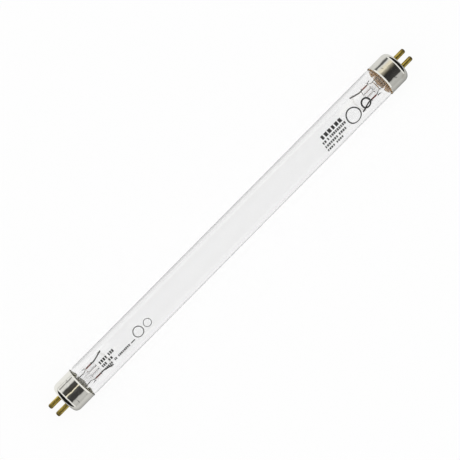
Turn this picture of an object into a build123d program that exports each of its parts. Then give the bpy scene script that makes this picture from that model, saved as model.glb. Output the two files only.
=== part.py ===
"""Germicidal tube lamp: clear glass, with a two-pin metal cap, a glass stem and an electrode at each end.

Millimetres, +Z up. The tube's axis is X and the origin is the lamp's middle, on that axis.
Both ends are alike. Each end piece is modelled once in an end frame, and then placed at both ends.
In the end frame x runs inwards from the cap's end face, the pins stand side by side along y, and
the tube's axis is y = z = 0.
"""

import os
from math import asin, cos, hypot, sin, sqrt

from build123d import *

# Whole lamp
FACE_TO_FACE = 212.1  # from one cap's end face to the other's
FIT = 0.05  # clearance between pieces that slide into one another

# Glass tube
TUBE_DIAMETER = 15.5
TUBE_WALL = 0.8
NECK_TAPER = 1.5  # length over which each end is drawn in, just outside the cap's rim
SEAL_SETBACK = 4.0  # from the cap's end face to the tube's sealed end

# Cap shell, drawn from thin sheet
CAP_PROUD = 0.15  # how far its side stands out from the tube's
CAP_LENGTH = 10.8
CAP_WALL = 0.25
CAP_SHOULDER = 1.6  # how far the rounding between end face and side reaches inwards
CAP_SHOULDER_LENGTH = 2.6  # and along the side
END_HOLE_DIAMETER = 10.4
RIM_FLARE = 0.1  # how far the open rim turns outwards
RIM_FLARE_LENGTH = 0.7

# Insulator disc, pressed into the cap
DISC_RIM = 0.3  # straight rim behind the disc's chamfer

# Contact pins, riveted into the disc
PIN_SPACING = 4.75
PIN_DIAMETER = 2.37
PIN_LENGTH = 7.1
PIN_TIP_RADIUS = 0.7
PIN_SHANK_DIAMETER = 1.9  # inside the disc
PIN_SOCKET_DEPTH = 1.6  # blind hole in the rivet head, where the lead is soldered in
RIVET_HEAD_DIAMETER = 3.1
RIVET_HEAD_THICKNESS = 0.4

# Basing cement between cap and tube
CEMENT_THICKNESS = 0.3
CEMENT_SETBACK = 0.25  # behind the cap's rim
CEMENT_TO_SEAL = 0.8  # from the tube's sealed end

# Stem: flare, tube and pressed flat in one piece of glass
STEM_DIAMETER = 8.0
STEM_WALL = 0.7
FLARE_LAND = 0.5  # flat ring outside the flare's curve, fused to the tube
PRESS_START = 16.0  # from the cap's end face to the pressed flat
PRESS_TAPER = 2.0  # length over which the stem is pressed flat
PRESS_LENGTH = 4.8
PRESS_THICKNESS = 2.4
PRESS_CROWN = 0.12  # how far the pressed faces bulge
PRESS_BOW = 1.2  # how far the flat's inner end bows out between its sides
PRESS_MARGIN = 1.0  # glass beside each seal wire
PRESS_EDGE_RADIUS = 0.4
PRESS_CAVITY = 0.8  # height of the stem's hollow where the flat starts

# Exhaust tube, fused into the pressed flat
EXHAUST_DIAMETER = 2.8
EXHAUST_WALL = 0.6
EXHAUST_SOCKET = 1.2  # how deep it sits in the pressed flat
EXHAUST_BARREL_WALL = 0.4  # glass around it there
EXHAUST_TIP_GAP = 0.8  # from the disc to the closed tip
EXHAUST_TIP_LENGTH = 3.0

# Lead wires, three welded lengths on each side
OUTER_LEAD_DIAMETER = 0.4
SEAL_WIRE_DIAMETER = 0.65
INNER_LEAD_DIAMETER = 0.65
SEAL_WIRE_SPACING = 6.0
SEAL_WIRE_OUTER_INSET = 0.5  # from the flat's outer end to the first weld
SEAL_WIRE_INNER_INSET = 1.5  # from the second weld to the flat's inner end
LEAD_BEND_RADIUS = 1.2
LEAD_STRAIGHT = 0.5  # straight run outside the flat before each bend

# Electrode: a coil held by a folded hook on each inner lead
HOOK_SPACING = 8.4  # between the two hooks
HOOK_REACH = 26.2  # from the cap's end face to the hooks' tips
HOOK_LENGTH = 1.8  # folded-back part
HOOK_BEND_SLACK = 0.02  # straight left between the fold's two bends
COIL_DIAMETER = 1.0
COIL_WIRE = 0.3
COIL_TURNS = 12
COIL_OVERHANG = 0.6  # coil past each hook
COIL_FROM_TIP = 0.95  # from the hooks' tips to where the coil crosses them
COIL_BOW = 1.2  # how far the coil's middle bows away from the hooks

# Mercury dose
MERCURY_DIAMETER = 0.9
MERCURY_SETBACK = 1.8  # behind the left cap's rim

# Worked out from the sizes above
CAP_RADIUS = TUBE_DIAMETER / 2 + CAP_PROUD
CAP_BORE_RADIUS = CAP_RADIUS - CAP_WALL
NECK_RADIUS = CAP_BORE_RADIUS - CEMENT_THICKNESS - FIT
NECK_BORE_RADIUS = NECK_RADIUS - TUBE_WALL
DISC_BACK = CAP_SHOULDER_LENGTH + DISC_RIM
PIN_HEAD_END = DISC_BACK + RIVET_HEAD_THICKNESS
PIN_SOCKET_END = PIN_HEAD_END - PIN_SOCKET_DEPTH
FLARE_RADIUS = NECK_BORE_RADIUS - FLARE_LAND  # where the flare's curve starts
FLARE_END = SEAL_SETBACK + STEM_WALL / 2 + FLARE_RADIUS - (STEM_DIAMETER - STEM_WALL) / 2
PRESS_END = PRESS_START + PRESS_LENGTH
FIRST_WELD = PRESS_START + SEAL_WIRE_OUTER_INSET
SECOND_WELD = PRESS_END - SEAL_WIRE_INNER_INSET
EXHAUST_RADIUS = EXHAUST_DIAMETER / 2
EXHAUST_BORE_RADIUS = EXHAUST_RADIUS - EXHAUST_WALL
EXHAUST_END = PRESS_START + EXHAUST_SOCKET
HOOK_RISE = COIL_DIAMETER + INNER_LEAD_DIAMETER + 2 * FIT  # between the fold's two strands
COIL_PLACE = HOOK_REACH - COIL_FROM_TIP


def turned(edges):
    """Solid of revolution about the tube's axis, from a closed outline with y as the radius."""
    return revolve(make_face(edges), axis=Axis.X)


def rod(radius, start, end, y=0.0):
    """Round bar along x, from start to end."""
    return extrude(Plane.YZ.offset(start) * Pos(y, 0) * Circle(radius), amount=end - start)


def wire(diameter, path):
    """Round wire swept along a path of straight runs and arcs."""
    section = Plane(origin=path @ 0, z_dir=path % 0) * Circle(diameter / 2)
    return sweep(section, path=path)


def chain(*points):
    """Straight edges from point to point."""
    return [Line(start, end) for start, end in zip(points, points[1:])]


def tube_side(radius, neck_radius):
    """One side of the tube's section, from sealed end to sealed end, drawn in under both caps."""
    end = FACE_TO_FACE / 2 - SEAL_SETBACK
    neck = FACE_TO_FACE / 2 - CAP_LENGTH
    full = neck - NECK_TAPER
    along = [(1, 0), (1, 0)]
    return [
        Line((-end, neck_radius), (-neck, neck_radius)),
        Spline((-neck, neck_radius), (-full, radius), tangents=along),
        Line((-full, radius), (full, radius)),
        Spline((full, radius), (neck, neck_radius), tangents=along),
        Line((neck, neck_radius), (end, neck_radius)),
    ]


def make_glass_tube():
    """Clear tube with an even wall, in the lamp's own frame."""
    end = FACE_TO_FACE / 2 - SEAL_SETBACK
    closing = [Line((x, NECK_BORE_RADIUS), (x, NECK_RADIUS)) for x in (-end, end)]
    outside = tube_side(TUBE_DIAMETER / 2, NECK_RADIUS)
    inside = tube_side(TUBE_DIAMETER / 2 - TUBE_WALL, NECK_BORE_RADIUS)
    return turned(outside + inside + closing)


def shell_side(inset):
    """One side of the cap's sheet, from the end hole to the rim, moved inwards by inset."""
    radius = CAP_RADIUS - inset
    shoulder = CAP_RADIUS - CAP_SHOULDER
    flare_start = CAP_LENGTH - RIM_FLARE_LENGTH
    reach = CAP_SHOULDER_LENGTH - inset
    return [
        Line((inset, END_HOLE_DIAMETER / 2), (inset, shoulder)),
        EllipticalCenterArc((CAP_SHOULDER_LENGTH, shoulder), reach, CAP_SHOULDER - inset, 90, arc_size=90),
        Line((CAP_SHOULDER_LENGTH, radius), (flare_start, radius)),
        Line((flare_start, radius), (CAP_LENGTH, radius + RIM_FLARE)),
    ]


def make_cap_shell():
    """Drawn cup with a hole in its end, a rounded shoulder and a slightly opened rim."""
    rim = CAP_RADIUS + RIM_FLARE
    closing = [
        Line((0, END_HOLE_DIAMETER / 2), (CAP_WALL, END_HOLE_DIAMETER / 2)),
        Line((CAP_LENGTH, rim), (CAP_LENGTH, rim - CAP_WALL)),
    ]
    return turned(shell_side(0) + shell_side(CAP_WALL) + closing)


def make_insulator_disc():
    """Chamfered disc seated in the cap's end, with a boss that fills the end hole and two pin holes."""
    boss = END_HOLE_DIAMETER / 2 - FIT
    outline = chain(
        (0, 0),
        (0, boss),
        (CAP_WALL, boss),
        (CAP_WALL, CAP_RADIUS - CAP_SHOULDER),
        (CAP_SHOULDER_LENGTH, CAP_BORE_RADIUS),
        (DISC_BACK, CAP_BORE_RADIUS),
        (DISC_BACK, 0),
        (0, 0),
    )
    disc = turned(outline)
    for side in (1, -1):
        disc -= rod(PIN_SHANK_DIAMETER / 2, 0, DISC_BACK, y=side * PIN_SPACING / 2)
    return disc


def make_contact_pin():
    """Solid pin that sits on the disc, with a rivet head behind it and a blind hole there for the lead."""
    radius = PIN_DIAMETER / 2
    tip_start = PIN_TIP_RADIUS - PIN_LENGTH
    socket = OUTER_LEAD_DIAMETER / 2
    outside = chain(
        (tip_start, radius),
        (0, radius),
        (0, PIN_SHANK_DIAMETER / 2),
        (DISC_BACK, PIN_SHANK_DIAMETER / 2),
        (DISC_BACK, RIVET_HEAD_DIAMETER / 2),
        (PIN_HEAD_END, RIVET_HEAD_DIAMETER / 2),
        (PIN_HEAD_END, socket),
        (PIN_SOCKET_END, socket),
        (PIN_SOCKET_END, 0),
        (-PIN_LENGTH, 0),
        (-PIN_LENGTH, radius - PIN_TIP_RADIUS),
    )
    tip = CenterArc((tip_start, radius - PIN_TIP_RADIUS), PIN_TIP_RADIUS, 90, 90)
    return Pos(0, PIN_SPACING / 2) * turned(outside + [tip])


def make_cement_ring():
    """Sleeve of cement between the tube's neck and the cap's inside."""
    start = SEAL_SETBACK + CEMENT_TO_SEAL
    end = CAP_LENGTH - CEMENT_SETBACK
    return rod(CAP_BORE_RADIUS - FIT, start, end) - rod(NECK_RADIUS, start, end)


def make_outer_lead():
    """Wire from the pin's hole through the stem to the first weld inside the pressed flat."""
    pin_y = PIN_SPACING / 2
    seal_y = SEAL_WIRE_SPACING / 2
    path = FilletPolyline(
        (PIN_SOCKET_END, pin_y, 0),
        (PRESS_START - PRESS_TAPER, pin_y, 0),
        (PRESS_START - LEAD_STRAIGHT, seal_y, 0),
        (FIRST_WELD, seal_y, 0),
        radius=LEAD_BEND_RADIUS,
    )
    return wire(OUTER_LEAD_DIAMETER, path)


def make_seal_wire():
    """Straight copper-clad wire inside the pressed flat, weld to weld."""
    return rod(SEAL_WIRE_DIAMETER / 2, FIRST_WELD, SECOND_WELD, y=SEAL_WIRE_SPACING / 2)


def make_inner_lead():
    """Wire from the second weld out to the electrode, with its tip folded back into a hook."""
    seal_y = SEAL_WIRE_SPACING / 2
    hook_y = HOOK_SPACING / 2
    bend_x = PRESS_END + LEAD_STRAIGHT
    run_x = HOOK_REACH - bend_x
    run_y = hook_y - seal_y
    fold = HOOK_LENGTH / hypot(run_x, run_y)
    fold_radius = (HOOK_RISE - HOOK_BEND_SLACK) / 2
    path = FilletPolyline(
        (SECOND_WELD, seal_y, 0),
        (bend_x, seal_y, 0),
        (HOOK_REACH, hook_y, 0),
        (HOOK_REACH, hook_y, HOOK_RISE),
        (HOOK_REACH - fold * run_x, hook_y - fold * run_y, HOOK_RISE),
        radius=[LEAD_BEND_RADIUS, fold_radius, fold_radius],
    )
    return wire(INNER_LEAD_DIAMETER, path)


def make_filament():
    """Coil of coated wire in half-turn arcs, bowed a little, that runs through both hooks."""
    half_span = HOOK_SPACING / 2
    bow_radius = (half_span**2 + COIL_BOW**2) / (2 * COIL_BOW)
    half_angle = asin(half_span / bow_radius) + COIL_OVERHANG / bow_radius
    centre_x = COIL_PLACE + COIL_BOW - bow_radius
    winding = (COIL_DIAMETER - COIL_WIRE) / 2
    half_turn = half_angle / COIL_TURNS
    swing = sqrt(winding**2 - (bow_radius * half_turn / 2) ** 2)
    joints = []
    for step in range(2 * COIL_TURNS + 1):
        along = half_angle - half_turn * step
        reach = bow_radius + swing * (-1) ** step
        joints.append(Vector(centre_x + reach * cos(along), reach * sin(along), HOOK_RISE / 2))
    arcs = []
    for step, (start, end) in enumerate(zip(joints, joints[1:])):
        rise = (end - start).length / 2 * (-1) ** step
        arcs.append(ThreePointArc(start, (start + end) / 2 + Vector(0, 0, rise), end))
    return wire(COIL_WIRE, Wire(arcs))


def make_exhaust_tube():
    """Thin glass tube from its socket in the pressed flat to a closed, drawn-out tip behind the disc."""
    tip = DISC_BACK + EXHAUST_TIP_GAP
    shoulder = tip + EXHAUST_TIP_LENGTH
    walls = chain(
        (shoulder, EXHAUST_RADIUS),
        (EXHAUST_END, EXHAUST_RADIUS),
        (EXHAUST_END, EXHAUST_BORE_RADIUS),
        (shoulder, EXHAUST_BORE_RADIUS),
    )
    outside = EllipticalCenterArc((shoulder, 0), EXHAUST_TIP_LENGTH, EXHAUST_RADIUS, 90, arc_size=90)
    inside = EllipticalCenterArc(
        (shoulder, 0), EXHAUST_TIP_LENGTH - EXHAUST_WALL, EXHAUST_BORE_RADIUS, 90, arc_size=90
    )
    return turned(walls + [outside, inside, Line((tip, 0), (tip + EXHAUST_WALL, 0))])


def four_arc_section(half_width, half_height, corner_y, corner_z):
    """Closed section of four arcs: crowned above and below, round at both sides."""
    return make_face(
        [
            ThreePointArc((-corner_y, corner_z), (0, half_height), (corner_y, corner_z)),
            ThreePointArc((corner_y, corner_z), (half_width, 0), (corner_y, -corner_z)),
            ThreePointArc((corner_y, -corner_z), (0, -half_height), (-corner_y, -corner_z)),
            ThreePointArc((-corner_y, -corner_z), (-half_width, 0), (-corner_y, corner_z)),
        ]
    )


def round_section(radius):
    """Round stem section, in four arcs."""
    corner = radius / sqrt(2)
    return four_arc_section(radius, radius, corner, corner)


def flat_section(half_width, half_height):
    """Pressed section: two nearly flat faces between half-round sides."""
    side = half_height - PRESS_CROWN
    return four_arc_section(half_width, half_height, half_width - side, side)


def stem_form(rim, inset, half_width, half_height):
    """Filled form of the stem: its rim's outline, then the flare's curve, the tube and the pressed taper.

    The rim runs from the axis to where the flare's curve starts.
    The form's skin is moved inwards by inset.
    """
    radius = STEM_DIAMETER / 2 - inset
    taper_start = PRESS_START - PRESS_TAPER
    curve = CenterArc((FLARE_END, FLARE_RADIUS), FLARE_RADIUS - radius, 180, 90)
    tube = chain((FLARE_END, radius), (taper_start, radius), (taper_start, 0), (SEAL_SETBACK, 0))
    taper = loft(
        [
            Plane.YZ.offset(taper_start) * round_section(radius),
            Plane.YZ.offset(PRESS_START) * flat_section(half_width, half_height),
        ]
    )
    return turned(rim + [curve] + tube) + taper


def bowed_end(form, half_width):
    """Trim a form's inner end to the pressed flat's bow and round its edge."""
    radius = (half_width**2 + PRESS_BOW**2) / (2 * PRESS_BOW)
    form &= Pos(PRESS_END - radius, 0) * Cylinder(radius, STEM_DIAMETER)
    return fillet(form.faces().sort_by(Axis.X)[-1].edges(), PRESS_EDGE_RADIUS)


def make_stem(embedded):
    """Stem glass fused around the exhaust tube and the embedded wires."""
    half_width = SEAL_WIRE_SPACING / 2 + PRESS_MARGIN
    half_height = PRESS_THICKNESS / 2
    pressed = Plane.YZ.offset(PRESS_START) * flat_section(half_width, half_height)
    flat = bowed_end(extrude(pressed, amount=PRESS_LENGTH), half_width)
    barrel = rod(EXHAUST_RADIUS + EXHAUST_BARREL_WALL, PRESS_START - PRESS_TAPER / 2, PRESS_END)
    barrel = bowed_end(barrel, half_width)
    lip = SEAL_SETBACK + STEM_WALL
    rim = chain(
        (SEAL_SETBACK, 0), (SEAL_SETBACK, NECK_BORE_RADIUS), (lip, NECK_BORE_RADIUS), (lip, FLARE_RADIUS)
    )
    mouth = chain((SEAL_SETBACK, 0), (SEAL_SETBACK, FLARE_RADIUS))
    glass = stem_form(rim, 0, half_width, half_height) + flat + barrel
    glass -= stem_form(mouth, STEM_WALL, half_width - STEM_WALL, PRESS_CAVITY / 2)
    glass -= rod(EXHAUST_RADIUS, SEAL_SETBACK, EXHAUST_END)
    glass -= rod(EXHAUST_BORE_RADIUS, EXHAUST_END, PRESS_END)
    for piece in embedded:
        glass -= piece
    return glass


def make_mercury_drop():
    """Bead of mercury at rest in the trough behind the left cap, in the lamp's own frame."""
    radius = MERCURY_DIAMETER / 2
    x = CAP_LENGTH - MERCURY_SETBACK - FACE_TO_FACE / 2
    return Pos(x, 0, radius + FIT - NECK_BORE_RADIUS) * Sphere(radius)


def end_pieces():
    """Every piece of one end, by name, in the end frame."""
    pieces = {
        "cap_shell": make_cap_shell(),
        "insulator_disc": make_insulator_disc(),
        "cement_ring": make_cement_ring(),
        "exhaust_tube": make_exhaust_tube(),
        "filament": make_filament(),
    }
    paired = {
        "contact_pin": make_contact_pin(),
        "outer_lead": make_outer_lead(),
        "seal_wire": make_seal_wire(),
        "inner_lead": make_inner_lead(),
    }
    embedded = []
    for name, piece in paired.items():
        twin = mirror(piece, about=Plane.XZ)
        pieces[f"{name}_a"] = piece
        pieces[f"{name}_b"] = twin
        if name != "contact_pin":
            embedded += [piece, twin]
    pieces["stem"] = make_stem(embedded)
    return pieces


def node_name(piece_name, end):
    """Node name with the end before a trailing a or b: inner_lead_a becomes inner_lead_left_a."""
    if piece_name.endswith(("_a", "_b")):
        return f"{piece_name[:-2]}_{end}{piece_name[-2:]}"
    return f"{piece_name}_{end}"


def main():
    """Place both ends and write one STEP file for each piece."""
    ends = {
        "left": Pos(-FACE_TO_FACE / 2, 0, 0),
        "right": Pos(FACE_TO_FACE / 2, 0, 0) * Rot(0, 0, 180),
    }
    nodes = {"glass_tube": make_glass_tube(), "mercury_drop": make_mercury_drop()}
    for piece_name, piece in end_pieces().items():
        for end, place in ends.items():
            nodes[node_name(piece_name, end)] = place * piece
    os.makedirs("parts", exist_ok=True)
    for name, piece in nodes.items():
        export_step(piece, f"parts/{name}.step")


main()
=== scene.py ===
"""Dressed scene of a clear tube lamp with a two-pin metal cap, a glass stem and a coil at each end.

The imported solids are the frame. Glass, drawn metal, wires and coils are modelled again, finer, in their
places. Lengths in the classes are millimetres, and a finished mesh is scaled to metres.
In an end's own frame x runs inwards from the cap's end face and the pins stand side by side along y.
"""

import logging
from dataclasses import dataclass
from enum import Enum
from functools import cache
from math import copysign, cos, hypot, pi, radians, sin, sqrt, tan, tanh
from typing import Any, Sequence

import bmesh
import bpy
from bmesh.types import BMEdge, BMesh, BMVert
from bpy.types import Material, Node, NodeSocket, NodeTree, Object
from mathutils import Matrix, Vector, noise


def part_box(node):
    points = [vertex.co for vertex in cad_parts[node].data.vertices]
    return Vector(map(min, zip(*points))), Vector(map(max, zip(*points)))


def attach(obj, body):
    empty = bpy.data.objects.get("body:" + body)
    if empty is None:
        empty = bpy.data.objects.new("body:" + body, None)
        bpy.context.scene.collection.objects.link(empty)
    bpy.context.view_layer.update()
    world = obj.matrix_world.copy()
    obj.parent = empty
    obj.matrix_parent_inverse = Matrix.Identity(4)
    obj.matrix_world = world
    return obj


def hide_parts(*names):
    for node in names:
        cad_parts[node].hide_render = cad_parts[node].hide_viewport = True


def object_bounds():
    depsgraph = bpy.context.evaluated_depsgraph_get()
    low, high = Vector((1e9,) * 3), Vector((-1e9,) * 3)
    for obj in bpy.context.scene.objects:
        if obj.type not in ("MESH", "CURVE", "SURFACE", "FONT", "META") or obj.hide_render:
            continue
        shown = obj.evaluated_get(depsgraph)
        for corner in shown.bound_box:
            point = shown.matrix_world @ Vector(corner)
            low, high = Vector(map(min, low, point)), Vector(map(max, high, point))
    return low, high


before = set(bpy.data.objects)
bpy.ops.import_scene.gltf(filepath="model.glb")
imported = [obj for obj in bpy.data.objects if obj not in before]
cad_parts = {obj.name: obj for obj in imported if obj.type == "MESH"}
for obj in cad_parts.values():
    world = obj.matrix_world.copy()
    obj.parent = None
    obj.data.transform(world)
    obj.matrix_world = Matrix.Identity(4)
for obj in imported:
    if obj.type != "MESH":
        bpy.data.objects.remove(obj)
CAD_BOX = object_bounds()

MM = 0.001  # metres in a millimetre
DEGREE = radians(1.0)
SLACK = 0.001  # millimetres within which two places count as one
WELD = 1e-5  # millimetres within which turned points are joined
TINY = 1e-6  # shorter sides and smaller turns of an outline are left out
FEWEST_STEPS = 3  # of an arc or a bend
ARC_STEP = radians(9)
BEND_STEP = radians(12)
MIX_COLOURS = (6, 7)  # the colour inputs of Blender's Mix node
MIX_RESULT = 2  # its colour output
BODY = "root"
log = logging.getLogger("tube_lamp")

Colour = tuple[float, float, float]
Range = tuple[float, float]
Stop = tuple[float, Colour]

WHITE: Colour = (1.0, 1.0, 1.0)
FULL: Range = (0.0, 1.0)
UNSCALED = (1.0, 1.0, 1.0)


class End(Enum):
    """The lamp's two ends, by the side of x they are on."""

    LEFT = -1
    RIGHT = 1

    @property
    def label(self) -> str:
        """The end's word in the node names."""
        return self.name.lower()

    def node(self, name: str) -> str:
        """Name of a CAD node of this end.

        Args:
            name: the node's name without the end's word.

        Returns:
            The name with that word, before a side's letter if it has one.
        """
        if name.endswith(("_a", "_b")):
            return f"{name[:-2]}_{self.label}{name[-2:]}"
        return f"{name}_{self.label}"

    def place(self) -> Matrix:
        """Place of this end in the lamp.

        Returns:
            Matrix from the end's own frame to the lamp's, in millimetres.
        """
        low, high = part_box(self.node("cap_shell"))
        face = (low.x if self is End.LEFT else high.x) / MM
        turn = Matrix.Identity(4) if self is End.LEFT else Matrix.Rotation(pi, 4, "Z")
        return Matrix.Translation((face, 0.0, 0.0)) @ turn


class Side(Enum):
    """The two wires and pins of an end, by the side of y they are on."""

    A = 1
    B = -1

    @property
    def suffix(self) -> str:
        """The side's letter in the node names."""
        return f"_{self.name.lower()}"


@dataclass(frozen=True)
class Grain:
    """A noise pattern: its waves to the metre along x, y and z, its finer layers and their strength."""

    waves: tuple[float, float, float]
    detail: float = 3.0
    rough: float = 0.55

    @classmethod
    def even(cls, waves: float, detail: float = 3.0, rough: float = 0.55) -> "Grain":
        """Pattern that is alike along all axes."""
        return cls((waves, waves, waves), detail, rough)


@dataclass(frozen=True)
class Relief:
    """How strongly a pattern's heights show, and its depth in millimetres."""

    strength: float
    depth: float


class NodeSketch:
    """Short way to add the nodes of one material or world and to join them."""

    def __init__(self, tree: NodeTree) -> None:
        """Keep the tree that the nodes go into."""
        self.tree = tree

    def add(self, kind: str, inputs: dict[str, Any], **settings: Any) -> Node:
        """Add a node.

        Args:
            kind: Blender's name of the node type.
            inputs: value or joined socket for each named input.
            settings: the node's own properties.

        Returns:
            The new node.
        """
        node = self.tree.nodes.new(kind)
        for name, value in settings.items():
            setattr(node, name, value)
        for name, value in inputs.items():
            self.feed(node.inputs[name], value)
        return node

    def feed(self, target: NodeSocket, value: Any) -> None:
        """Join a socket to an input, or set the input's own value.

        Args:
            target: the input.
            value: a node's socket, or a plain value.
        """
        if isinstance(value, NodeSocket):
            self.tree.links.new(value, target)
        else:
            target.default_value = value

    def surface(self, values: dict[str, Any]) -> None:
        """Set or join the named inputs of the material's own shader."""
        for name, value in values.items():
            self.feed(self.tree.nodes["Principled BSDF"].inputs[name], value)

    def math(self, operation: str, first: Any, second: Any = 0.0) -> NodeSocket:
        """Do one sum.

        Args:
            operation: Blender's name of the sum.
            first: a value or a socket.
            second: the other one, if the sum has two.

        Returns:
            The result's socket.
        """
        node = self.add("ShaderNodeMath", {}, operation=operation)
        self.feed(node.inputs[0], first)
        self.feed(node.inputs[1], second)
        return node.outputs[0]

    def place(self, scale: Sequence[float] = UNSCALED) -> NodeSocket:
        """Object coordinates with each axis scaled."""
        source = self.add("ShaderNodeTexCoord", {}).outputs["Object"]
        return self.add("ShaderNodeMapping", {"Vector": source, "Scale": scale}).outputs["Vector"]

    def axis(self, name: str) -> NodeSocket:
        """Object coordinate along one axis, in metres."""
        return self.add("ShaderNodeSeparateXYZ", {"Vector": self.place()}).outputs[name]

    def grain(self, pattern: Grain) -> NodeSocket:
        """Add a noise pattern on object coordinates.

        Args:
            pattern: what the noise is like.

        Returns:
            The noise's socket, from 0 to 1.
        """
        inputs = {"Vector": self.place(pattern.waves), "Scale": 1.0}
        inputs |= {"Detail": pattern.detail, "Roughness": pattern.rough}
        return self.add("ShaderNodeTexNoise", inputs).outputs["Fac"]

    def spread(self, value: Any, source: Range, target: Range) -> NodeSocket:
        """Carry a value smoothly from one range to another, held at both ends.

        Args:
            value: the value's socket.
            source: the range that it comes from.
            target: the range that it goes to.

        Returns:
            The carried value's socket.
        """
        inputs = {"Value": value, "From Min": source[0], "From Max": source[1]}
        inputs |= {"To Min": target[0], "To Max": target[1]}
        node = self.add("ShaderNodeMapRange", inputs, interpolation_type="SMOOTHSTEP")
        return node.outputs["Result"]

    def ramp(self, value: Any, stops: Sequence[Stop]) -> NodeSocket:
        """Colour a value by a ramp.

        Args:
            value: the value's socket.
            stops: place and colour of each stop, in order.

        Returns:
            The colour's socket.
        """
        node = self.add("ShaderNodeValToRGB", {"Fac": value})
        marks = node.color_ramp.elements
        for mark, (position, colour) in zip((marks[0], marks[-1]), (stops[0], stops[-1])):
            mark.position = position
            mark.color = (*colour, 1.0)
        for position, colour in stops[1:-1]:
            marks.new(position).color = (*colour, 1.0)
        return node.outputs["Color"]

    def blend(self, share: Any, first: Any, second: Any, mode: str = "MIX") -> NodeSocket:
        """Mix two colours.

        Args:
            share: part of the second one, from 0 to 1.
            first: a colour or its socket.
            second: the colour over it, or its socket.
            mode: Blender's name for the way of mixing.

        Returns:
            The mix's socket.
        """
        node = self.add("ShaderNodeMix", {}, data_type="RGBA", blend_type=mode)
        self.feed(node.inputs[0], share)
        for index, colour in zip(MIX_COLOURS, (first, second)):
            self.feed(node.inputs[index], colour if isinstance(colour, NodeSocket) else (*colour, 1.0))
        return node.outputs[MIX_RESULT]

    def bump(self, height: Any, relief: Relief, under: Any = None) -> NodeSocket:
        """Raise a surface by a height.

        Args:
            height: the height's socket, from 0 to 1.
            relief: how strong and deep it is.
            under: an earlier relief's socket, if there is one.

        Returns:
            The raised normal's socket.
        """
        inputs = {"Height": height, "Strength": relief.strength, "Distance": relief.depth * MM}
        if under is not None:
            inputs["Normal"] = under
        return self.add("ShaderNodeBump", inputs).outputs["Normal"]


class Finish:
    """A material of the lamp, made once and then handed out again."""

    name: str

    @cache
    def material(self) -> Material:
        """Make the material at the first call.

        Returns:
            The material.
        """
        made = bpy.data.materials.new(f"{self.name}_finish")
        made.use_nodes = True
        self.dress(NodeSketch(made.node_tree))
        return made

    def dress(self, sketch: NodeSketch) -> None:
        """Set the shader's values and join its textures."""
        raise NotImplementedError


@dataclass(frozen=True)
class ClearGlass(Finish):
    """Drawn clear glass with faint lengthwise lines."""

    name: str
    striae: Relief = Relief(0.02, 0.2)
    lines: Grain = Grain((12.0, 420.0, 420.0), detail=2.0)
    index: float = 1.5

    def dress(self, sketch: NodeSketch) -> None:
        """Clear glass whose lines run along the tube.

        Args:
            sketch: where the nodes go.
        """
        sketch.surface(
            {
                "Base Color": (*WHITE, 1.0),
                "Roughness": 0.0,
                "IOR": self.index,
                "Transmission Weight": 1.0,
                "Normal": sketch.bump(sketch.grain(self.lines), self.striae),
            }
        )


@dataclass(frozen=True)
class DrawnMetal(Finish):
    """Bright sheet metal with drawing streaks and shallow dents."""

    name: str
    colour: Colour
    stain: Colour
    rough: Range
    cloud: Grain = Grain.even(240.0, detail=4.0)
    cloud_span: Range = (0.5, 0.78)
    stain_share: Range = (0.0, 0.55)
    streaks: Grain = Grain((160.0, 2600.0, 2600.0))
    streak_span: Range = (0.3, 0.75)
    streak_relief: Relief = Relief(0.06, 0.05)
    dents: Grain = Grain.even(260.0, detail=2.0)
    dent_relief: Relief = Relief(0.22, 0.5)

    def dress(self, sketch: NodeSketch) -> None:
        """Bright metal, stained and scuffed here and there.

        Args:
            sketch: where the nodes go.
        """
        stain = sketch.spread(sketch.grain(self.cloud), self.cloud_span, self.stain_share)
        streaks = sketch.grain(self.streaks)
        dents = sketch.bump(sketch.grain(self.dents), self.dent_relief)
        sketch.surface(
            {
                "Base Color": sketch.blend(stain, self.colour, self.stain),
                "Metallic": 1.0,
                "Roughness": sketch.spread(streaks, self.streak_span, self.rough),
                "Normal": sketch.bump(streaks, self.streak_relief, dents),
            }
        )


@dataclass(frozen=True)
class PinBrass(Finish):
    """Dull brass, rubbed along its length, and darkened by painted shade over a range of x that ends near
    the tip.
    """

    name: str
    colour: Colour
    tarnish: Colour
    burnt: Colour
    burnt_over: Range
    burnt_share: Range = (0.0, 0.85)
    patches: Grain = Grain((500.0, 900.0, 900.0), detail=4.0)
    patch_span: Range = (0.38, 0.7)
    patch_share: Range = (0.0, 0.8)
    rubs: Grain = Grain((300.0, 5200.0, 5200.0))
    rub_span: Range = (0.25, 0.8)
    rub_relief: Relief = Relief(0.08, 0.03)
    rough: Range = (0.1, 0.24)

    def dress(self, sketch: NodeSketch) -> None:
        """Brass with tarnish in patches and painted shade darkening the tip.

        Args:
            sketch: where the nodes go.
        """
        patches = sketch.spread(sketch.grain(self.patches), self.patch_span, self.patch_share)
        # painted shade: the brass is blended towards a dark colour over a range of x near the tip, in
        # place of the dark reflection on the rounded tips
        reach = sketch.math("ABSOLUTE", sketch.axis("X"))
        burnt_over = (self.burnt_over[0] * MM, self.burnt_over[1] * MM)
        burnt = sketch.spread(reach, burnt_over, self.burnt_share)
        body = sketch.blend(patches, self.colour, self.tarnish)
        rubs = sketch.grain(self.rubs)
        sketch.surface(
            {
                "Base Color": sketch.blend(burnt, body, self.burnt),
                "Metallic": 1.0,
                "Roughness": sketch.spread(rubs, self.rub_span, self.rough),
                "Normal": sketch.bump(rubs, self.rub_relief),
            }
        )


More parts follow.
